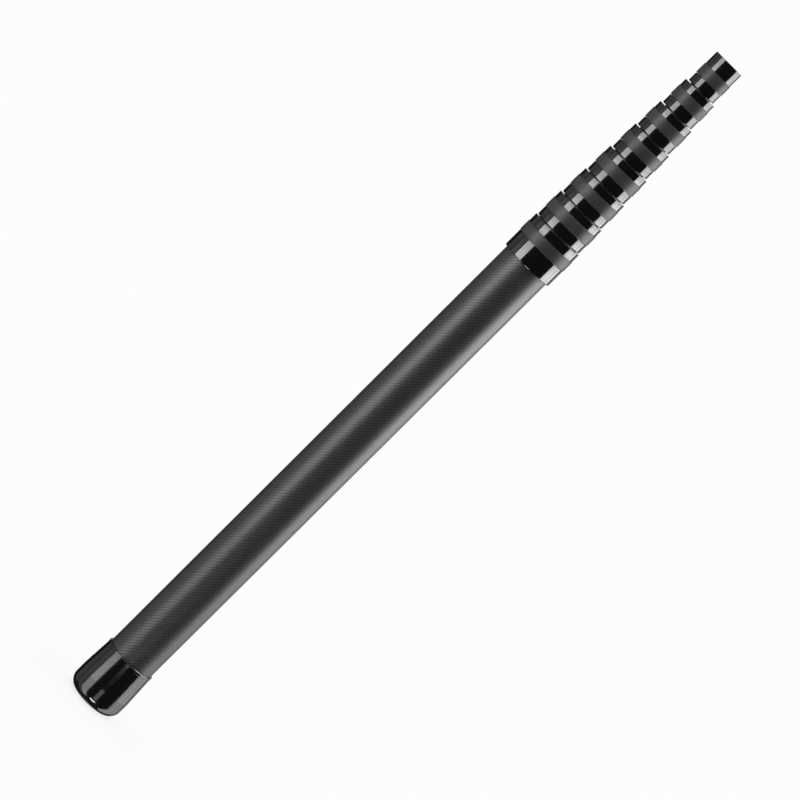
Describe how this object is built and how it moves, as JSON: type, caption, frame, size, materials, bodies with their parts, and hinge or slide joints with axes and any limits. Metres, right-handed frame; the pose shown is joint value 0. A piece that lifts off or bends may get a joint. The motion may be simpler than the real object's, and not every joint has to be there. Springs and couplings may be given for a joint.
{
  "type": "telescopic prism pole",
  "caption": "Telescopic carbon-fibre pole with stacked twist-lock collars, rubber grip bands, a threaded tip socket for a prism and a moulded base cap, stored pushed together.",
  "frame": {"origin": "centre of the base cap's flat foot, on the pole's axis", "axes": "+Z along the pole from the foot to the tip, with every section pushed in; X and Y are free because the pole is round"},
  "size_m": [0.0338, 0.0338, 0.5],
  "materials": {
    "carbon": "satin",
    "black_anodised": "gloss",
    "grip_rubber": "matte",
    "cap_plastic": "gloss",
    "nylon": "satin",
    "plain_aluminium": "satin",
    "foam": "matte",
    "brass": "satin"
  },
  "bodies": {
    "section_1": {"base_cap": "cap_plastic", "bumper_pad": "foam", "tube_1": "carbon", "lock_sleeve_1": "black_anodised"},
    "section_2": {"tube_2": "carbon", "stop_rings_2": "plain_aluminium", "lock_sleeve_2": "black_anodised"},
    "section_3": {"tube_3": "carbon", "stop_rings_3": "plain_aluminium", "lock_sleeve_3": "black_anodised"},
    "section_4": {"tube_4": "carbon", "stop_rings_4": "plain_aluminium", "lock_sleeve_4": "black_anodised"},
    "section_5": {"tube_5": "carbon", "stop_rings_5": "plain_aluminium", "lock_sleeve_5": "black_anodised"},
    "section_6": {"tube_6": "carbon", "stop_rings_6": "plain_aluminium", "lock_sleeve_6": "black_anodised"},
    "section_7": {"tube_7": "carbon", "stop_rings_7": "plain_aluminium", "lock_sleeve_7": "black_anodised"},
    "section_8": {"tube_8": "carbon", "stop_rings_8": "plain_aluminium", "tip_sleeve": "black_anodised", "tip_grip_ring": "grip_rubber", "tip_head": "black_anodised", "socket_insert": "brass"},
    "guide_2": {"guide_ring_2": "nylon"},
    "guide_3": {"guide_ring_3": "nylon"},
    "guide_4": {"guide_ring_4": "nylon"},
    "guide_5": {"guide_ring_5": "nylon"},
    "guide_6": {"guide_ring_6": "nylon"},
    "guide_7": {"guide_ring_7": "nylon"},
    "guide_8": {"guide_ring_8": "nylon"},
    "lock_1_collet": {"collet_1": "nylon"},
    "lock_1_nut": {"twist_nut_1": "black_anodised", "grip_ring_1": "grip_rubber"},
    "lock_2_collet": {"collet_2": "nylon"},
    "lock_2_nut": {"twist_nut_2": "black_anodised", "grip_ring_2": "grip_rubber"},
    "lock_3_collet": {"collet_3": "nylon"},
    "lock_3_nut": {"twist_nut_3": "black_anodised", "grip_ring_3": "grip_rubber"},
    "lock_4_collet": {"collet_4": "nylon"},
    "lock_4_nut": {"twist_nut_4": "black_anodised", "grip_ring_4": "grip_rubber"},
    "lock_5_collet": {"collet_5": "nylon"},
    "lock_5_nut": {"twist_nut_5": "black_anodised", "grip_ring_5": "grip_rubber"},
    "lock_6_collet": {"collet_6": "nylon"},
    "lock_6_nut": {"twist_nut_6": "black_anodised", "grip_ring_6": "grip_rubber"},
    "lock_7_collet": {"collet_7": "nylon"},
    "lock_7_nut": {"twist_nut_7": "black_anodised", "grip_ring_7": "grip_rubber"}
  },
  "joints": [
    {"name": "section_2_slide", "type": "slide", "parent": "section_1", "child": "guide_2", "axis": [0, 0, 1], "range_m": [0, 0.30205]},
    {"name": "section_2_swivel", "type": "hinge", "parent": "guide_2", "child": "section_2", "pos_m": [0, 0, 0.008], "axis": [0, 0, 1], "continuous": true},
    {"name": "collet_1_lift", "type": "slide", "parent": "section_1", "child": "lock_1_collet", "axis": [0, 0, 1], "range_m": [0, 0.000333]},
    {"name": "nut_1_twist", "type": "hinge", "parent": "lock_1_collet", "child": "lock_1_nut", "pos_m": [0, 0, 0.35637], "axis": [0, 0, 1], "range_deg": [0, 120]},
    {"name": "section_3_slide", "type": "slide", "parent": "section_2", "child": "guide_3", "axis": [0, 0, 1], "range_m": [0, 0.321]},
    {"name": "section_3_swivel", "type": "hinge", "parent": "guide_3", "child": "section_3", "pos_m": [0, 0, 0.008], "axis": [0, 0, 1], "continuous": true},
    {"name": "collet_2_lift", "type": "slide", "parent": "section_2", "child": "lock_2_collet", "axis": [0, 0, 1], "range_m": [0, 0.000333]},
    {"name": "nut_2_twist", "type": "hinge", "parent": "lock_2_collet", "child": "lock_2_nut", "pos_m": [0, 0, 0.37532], "axis": [0, 0, 1], "range_deg": [0, 120]},
    {"name": "section_4_slide", "type": "slide", "parent": "section_3", "child": "guide_4", "axis": [0, 0, 1], "range_m": [0, 0.33913]},
    {"name": "section_4_swivel", "type": "hinge", "parent": "guide_4", "child": "section_4", "pos_m": [0, 0, 0.008], "axis": [0, 0, 1], "continuous": true},
    {"name": "collet_3_lift", "type": "slide", "parent": "section_3", "child": "lock_3_collet", "axis": [0, 0, 1], "range_m": [0, 0.000333]},
    {"name": "nut_3_twist", "type": "hinge", "parent": "lock_3_collet", "child": "lock_3_nut", "pos_m": [0, 0, 0.39345], "axis": [0, 0, 1], "range_deg": [0, 120]},
    {"name": "section_5_slide", "type": "slide", "parent": "section_4", "child": "guide_5", "axis": [0, 0, 1], "range_m": [0, 0.35726]},
    {"name": "section_5_swivel", "type": "hinge", "parent": "guide_5", "child": "section_5", "pos_m": [0, 0, 0.008], "axis": [0, 0, 1], "continuous": true},
    {"name": "collet_4_lift", "type": "slide", "parent": "section_4", "child": "lock_4_collet", "axis": [0, 0, 1], "range_m": [0, 0.000333]},
    {"name": "nut_4_twist", "type": "hinge", "parent": "lock_4_collet", "child": "lock_4_nut", "pos_m": [0, 0, 0.41158], "axis": [0, 0, 1], "range_deg": [0, 120]},
    {"name": "section_6_slide", "type": "slide", "parent": "section_5", "child": "guide_6", "axis": [0, 0, 1], "range_m": [0, 0.37539]},
    {"name": "section_6_swivel", "type": "hinge", "parent": "guide_6", "child": "section_6", "pos_m": [0, 0, 0.008], "axis": [0, 0, 1], "continuous": true},
    {"name": "collet_5_lift", "type": "slide", "parent": "section_5", "child": "lock_5_collet", "axis": [0, 0, 1], "range_m": [0, 0.000333]},
    {"name": "nut_5_twist", "type": "hinge", "parent": "lock_5_collet", "child": "lock_5_nut", "pos_m": [0, 0, 0.42971], "axis": [0, 0, 1], "range_deg": [0, 120]},
    {"name": "section_7_slide", "type": "slide", "parent": "section_6", "child": "guide_7", "axis": [0, 0, 1], "range_m": [0, 0.39352]},
    {"name": "section_7_swivel", "type": "hinge", "parent": "guide_7", "child": "section_7", "pos_m": [0, 0, 0.008], "axis": [0, 0, 1], "continuous": true},
    {"name": "collet_6_lift", "type": "slide", "parent": "section_6", "child": "lock_6_collet", "axis": [0, 0, 1], "range_m": [0, 0.000333]},
    {"name": "nut_6_twist", "type": "hinge", "parent": "lock_6_collet", "child": "lock_6_nut", "pos_m": [0, 0, 0.44784], "axis": [0, 0, 1], "range_deg": [0, 120]},
    {"name": "section_8_slide", "type": "slide", "parent": "section_7", "child": "guide_8", "axis": [0, 0, 1], "range_m": [0, 0.41165]},
    {"name": "section_8_swivel", "type": "hinge", "parent": "guide_8", "child": "section_8", "pos_m": [0, 0, 0.008], "axis": [0, 0, 1], "continuous": true},
    {"name": "collet_7_lift", "type": "slide", "parent": "section_7", "child": "lock_7_collet", "axis": [0, 0, 1], "range_m": [0, 0.000333]},
    {"name": "nut_7_twist", "type": "hinge", "parent": "lock_7_collet", "child": "lock_7_nut", "pos_m": [0, 0, 0.46597], "axis": [0, 0, 1], "range_deg": [0, 120]}
  ],
  "couplings": [
    {"joint": "nut_1_twist", "follows": "collet_1_lift", "rad_per_m": 6283.2},
    {"joint": "nut_2_twist", "follows": "collet_2_lift", "rad_per_m": 6283.2},
    {"joint": "nut_3_twist", "follows": "collet_3_lift", "rad_per_m": 6283.2},
    {"joint": "nut_4_twist", "follows": "collet_4_lift", "rad_per_m": 6283.2},
    {"joint": "nut_5_twist", "follows": "collet_5_lift", "rad_per_m": 6283.2},
    {"joint": "nut_6_twist", "follows": "collet_6_lift", "rad_per_m": 6283.2},
    {"joint": "nut_7_twist", "follows": "collet_7_lift", "rad_per_m": 6283.2}
  ]
}
